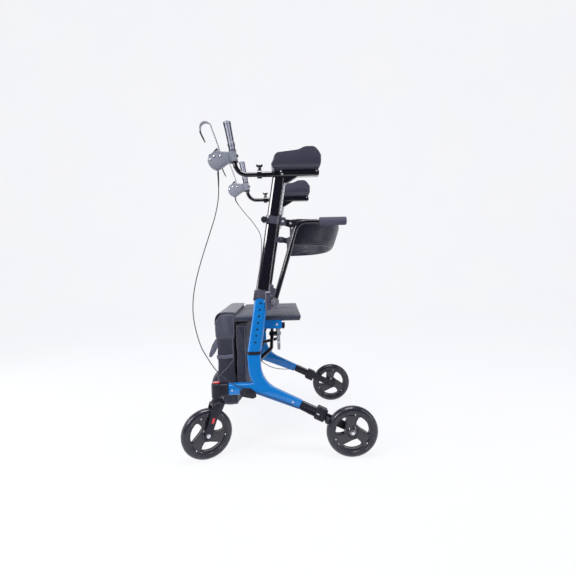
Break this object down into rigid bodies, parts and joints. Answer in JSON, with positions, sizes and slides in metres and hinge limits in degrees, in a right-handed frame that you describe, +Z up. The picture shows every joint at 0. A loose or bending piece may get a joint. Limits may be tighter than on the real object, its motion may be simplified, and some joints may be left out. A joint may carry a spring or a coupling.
{
  "type": "upright rollator",
  "caption": "Upright folding walking frame on wheels, with gutter forearm rests, hand brakes, stand-assist handles, a seat, a backrest band and a bag.",
  "frame": {"origin": "on the floor at the middle of the outline", "axes": "+Z up, -X the direction of travel, -Y the user's left"},
  "size_m": [0.7536, 0.6732, 1.2865],
  "materials": {
    "blue_paint": "gloss paint on tube",
    "black_gloss": "gloss powder coat",
    "black_plastic": "fine-grained moulded plastic",
    "grey_cast": "grey glass-filled casting",
    "silver": "brushed strip and zinc-plated steel",
    "leatherette": "dark leatherette over foam",
    "foam": "fine-celled foam",
    "grip_rubber": "grey moulded rubber",
    "wheel": "soft dark tyre on a moulded web",
    "cable": "black outer cable",
    "fabric": "woven black bag cloth"
  },
  "bodies": {
    "left_side": {"left_frame": "blue_paint", "left_sleeve": "blue_paint", "left_band": "black_plastic", "left_collar": "grey_cast", "left_clamp": "grey_cast", "left_head": "black_plastic", "left_rear_leg": "black_gloss", "left_brake_cable": "cable", "bag": "fabric"},
    "left_rest": {"left_post": "black_gloss", "left_mid_collar": "grey_cast", "left_tray": "black_gloss", "left_pad": "leatherette"},
    "left_handle": {"left_handle_tube": "black_gloss", "left_grip": "grip_rubber", "left_brake_housing": "grey_cast"},
    "left_lever": {"left_brake_lever": "silver"},
    "left_wing": {"left_wing_knob": "black_plastic"},
    "left_collar_turn": {"left_collar_knob": "black_plastic"},
    "left_assist": {"left_assist_tube": "black_gloss", "left_assist_grip": "foam"},
    "left_assist_turn": {"left_assist_knob": "black_plastic"},
    "left_caster": {"left_fork": "black_plastic"},
    "left_front": {"left_front_wheel": "wheel"},
    "left_rear": {"left_rear_wheel": "wheel"},
    "left_brake": {"left_brake_arm": "silver"},
    "left_back": {"left_back_arm": "black_plastic", "backrest_pad": "leatherette"},
    "left_seat_half": {"left_seat": "leatherette"},
    "right_side": {"right_frame": "blue_paint", "right_sleeve": "blue_paint", "right_band": "black_plastic", "right_collar": "grey_cast", "right_clamp": "grey_cast", "right_head": "black_plastic", "right_rear_leg": "black_gloss", "right_brake_cable": "cable"},
    "right_rest": {"right_post": "black_gloss", "right_mid_collar": "grey_cast", "right_tray": "black_gloss", "right_pad": "leatherette"},
    "right_handle": {"right_handle_tube": "black_gloss", "right_grip": "grip_rubber", "right_brake_housing": "grey_cast"},
    "right_lever": {"right_brake_lever": "silver"},
    "right_wing": {"right_wing_knob": "black_plastic"},
    "right_collar_turn": {"right_collar_knob": "black_plastic"},
    "right_assist": {"right_assist_tube": "black_gloss", "right_assist_grip": "foam"},
    "right_assist_turn": {"right_assist_knob": "black_plastic"},
    "right_caster": {"right_fork": "black_plastic"},
    "right_front": {"right_front_wheel": "wheel"},
    "right_rear": {"right_rear_wheel": "wheel"},
    "right_brake": {"right_brake_arm": "silver"},
    "right_back": {"right_back_arm": "black_plastic"},
    "right_seat_half": {"right_seat": "leatherette"},
    "brace_a": {"brace_a": "black_gloss", "centre_bolt": "silver"},
    "brace_b": {"brace_b": "black_gloss"}
  },
  "joints": [
    {"name": "fold", "type": "hinge", "parent": "left_side", "child": "brace_a", "pos_m": [-0.09, -0.236, 0.335], "axis": [1, 0, 0], "range_deg": [0, 42], "deforming": ["bag", "backrest_pad", "left_seat", "right_seat"]},
    {"name": "fold_centre", "type": "hinge", "parent": "brace_a", "child": "brace_b", "pos_m": [-0.014, 0, 0.43145], "axis": [1, 0, 0], "range_deg": [-84, 0]},
    {"name": "fold_right", "type": "hinge", "parent": "brace_b", "child": "right_side", "pos_m": [-0.09, 0.236, 0.335], "axis": [1, 0, 0], "range_deg": [0, 42]},
    {"name": "right_seat_fold", "type": "hinge", "parent": "brace_a", "child": "right_seat_half", "pos_m": [0, 0.225, 0.5314], "axis": [1, 0, 0], "range_deg": [-104, 0]},
    {"name": "left_seat_fold", "type": "hinge", "parent": "brace_b", "child": "left_seat_half", "pos_m": [0, -0.225, 0.5314], "axis": [1, 0, 0], "range_deg": [0, 104]},
    {"name": "left_post_slide", "type": "slide", "parent": "left_side", "child": "left_rest", "axis": [0.165, 0, 0.9863], "range_m": [-0.1016, 0.0508], "deforming": ["left_brake_cable", "right_brake_cable"]},
    {"name": "left_handle_slide", "type": "slide", "parent": "left_rest", "child": "left_handle", "axis": [-1, 0, 0], "range_m": [-0.015, 0.08]},
    {"name": "left_lever_squeeze", "type": "hinge", "parent": "left_handle", "child": "left_lever", "pos_m": [-0.207, -0.263, 1.158], "axis": [0, 1, 0], "range_deg": [0, 15], "stiffness_Nm_per_rad": 0.6},
    {"name": "left_brake_press", "type": "hinge", "parent": "left_side", "child": "left_brake", "pos_m": [0.16463, -0.263, 0.16953], "axis": [0, 1, 0], "range_deg": [-5, 0]},
    {"name": "left_wing_turn", "type": "hinge", "parent": "left_rest", "child": "left_wing", "pos_m": [-0.05, -0.263, 1.0878], "axis": [0, 0, 1], "continuous": true},
    {"name": "left_collar_knob_turn", "type": "hinge", "parent": "left_rest", "child": "left_collar_turn", "pos_m": [-0.03724, -0.263, 0.916], "axis": [0, 1, 0], "continuous": true},
    {"name": "left_assist_swing", "type": "hinge", "parent": "left_side", "child": "left_assist", "pos_m": [-0.005, -0.263, 0.604], "axis": [0, 1, 0], "range_deg": [0, 70]},
    {"name": "left_assist_knob_turn", "type": "hinge", "parent": "left_side", "child": "left_assist_turn", "pos_m": [-0.005, -0.263, 0.604], "axis": [0, 1, 0], "continuous": true},
    {"name": "left_caster_swivel", "type": "hinge", "parent": "left_side", "child": "left_caster", "pos_m": [-0.2415, -0.263, 0], "axis": [0, 0, 1], "continuous": true},
    {"name": "left_front_wheel_spin", "type": "hinge", "parent": "left_caster", "child": "left_front", "pos_m": [-0.28183, -0.28181, 0.099], "axis": [-0.4226, 0.9063, 0], "continuous": true},
    {"name": "left_rear_wheel_spin", "type": "hinge", "parent": "left_side", "child": "left_rear", "pos_m": [0.2792, -0.263, 0.099], "axis": [0, 1, 0], "continuous": true},
    {"name": "left_back_swing", "type": "hinge", "parent": "left_rest", "child": "left_back", "pos_m": [0.03275, -0.257, 0.91], "axis": [-0.0104, 0.998, -0.0621], "range_deg": [-85, 0]},
    {"name": "right_post_slide", "type": "slide", "parent": "right_side", "child": "right_rest", "axis": [0.165, 0, 0.9863], "range_m": [-0.1016, 0.0508]},
    {"name": "right_handle_slide", "type": "slide", "parent": "right_rest", "child": "right_handle", "axis": [-1, 0, 0], "range_m": [-0.015, 0.08]},
    {"name": "right_lever_squeeze", "type": "hinge", "parent": "right_handle", "child": "right_lever", "pos_m": [-0.207, 0.263, 1.158], "axis": [0, 1, 0], "range_deg": [0, 15], "stiffness_Nm_per_rad": 0.6},
    {"name": "right_brake_press", "type": "hinge", "parent": "right_side", "child": "right_brake", "pos_m": [0.16463, 0.263, 0.16953], "axis": [0, 1, 0], "range_deg": [-5, 0]},
    {"name": "right_wing_turn", "type": "hinge", "parent": "right_rest", "child": "right_wing", "pos_m": [-0.05, 0.263, 1.0878], "axis": [0, 0, 1], "continuous": true},
    {"name": "right_collar_knob_turn", "type": "hinge", "parent": "right_rest", "child": "right_collar_turn", "pos_m": [-0.0426, 0.263, 0.884], "axis": [0, 1, 0], "continuous": true},
    {"name": "right_assist_swing", "type": "hinge", "parent": "right_side", "child": "right_assist", "pos_m": [-0.005, 0.263, 0.604], "axis": [0, 1, 0], "range_deg": [0, 70]},
    {"name": "right_assist_knob_turn", "type": "hinge", "parent": "right_side", "child": "right_assist_turn", "pos_m": [-0.005, 0.263, 0.604], "axis": [0, 1, 0], "continuous": true},
    {"name": "right_caster_swivel", "type": "hinge", "parent": "right_side", "child": "right_caster", "pos_m": [-0.2415, 0.263, 0], "axis": [0, 0, 1], "continuous": true},
    {"name": "right_front_wheel_spin", "type": "hinge", "parent": "right_caster", "child": "right_front", "pos_m": [-0.28183, 0.28181, 0.099], "axis": [0.4226, 0.9063, 0], "continuous": true},
    {"name": "right_rear_wheel_spin", "type": "hinge", "parent": "right_side", "child": "right_rear", "pos_m": [0.2792, 0.263, 0.099], "axis": [0, 1, 0], "continuous": true},
    {"name": "right_back_swing", "type": "hinge", "parent": "right_rest", "child": "right_back", "pos_m": [0.0274, 0.257, 0.878], "axis": [-0.0104, 0.998, -0.0621], "range_deg": [-85, 0]}
  ],
  "couplings": [
    {"joint": "fold_centre", "follows": "fold", "ratio": -2},
    {"joint": "fold_right", "follows": "fold", "ratio": 1},
    {"joint": "right_seat_fold", "follows": "fold", "ratio": -2.474},
    {"joint": "left_seat_fold", "follows": "fold", "ratio": 2.474},
    {"joint": "left_brake_press", "follows": "left_lever_squeeze", "ratio": -0.33333},
    {"joint": "right_post_slide", "follows": "left_post_slide", "ratio": 1},
    {"joint": "right_brake_press", "follows": "right_lever_squeeze", "ratio": -0.33333},
    {"joint": "right_back_swing", "follows": "left_back_swing", "ratio": 1}
  ]
}
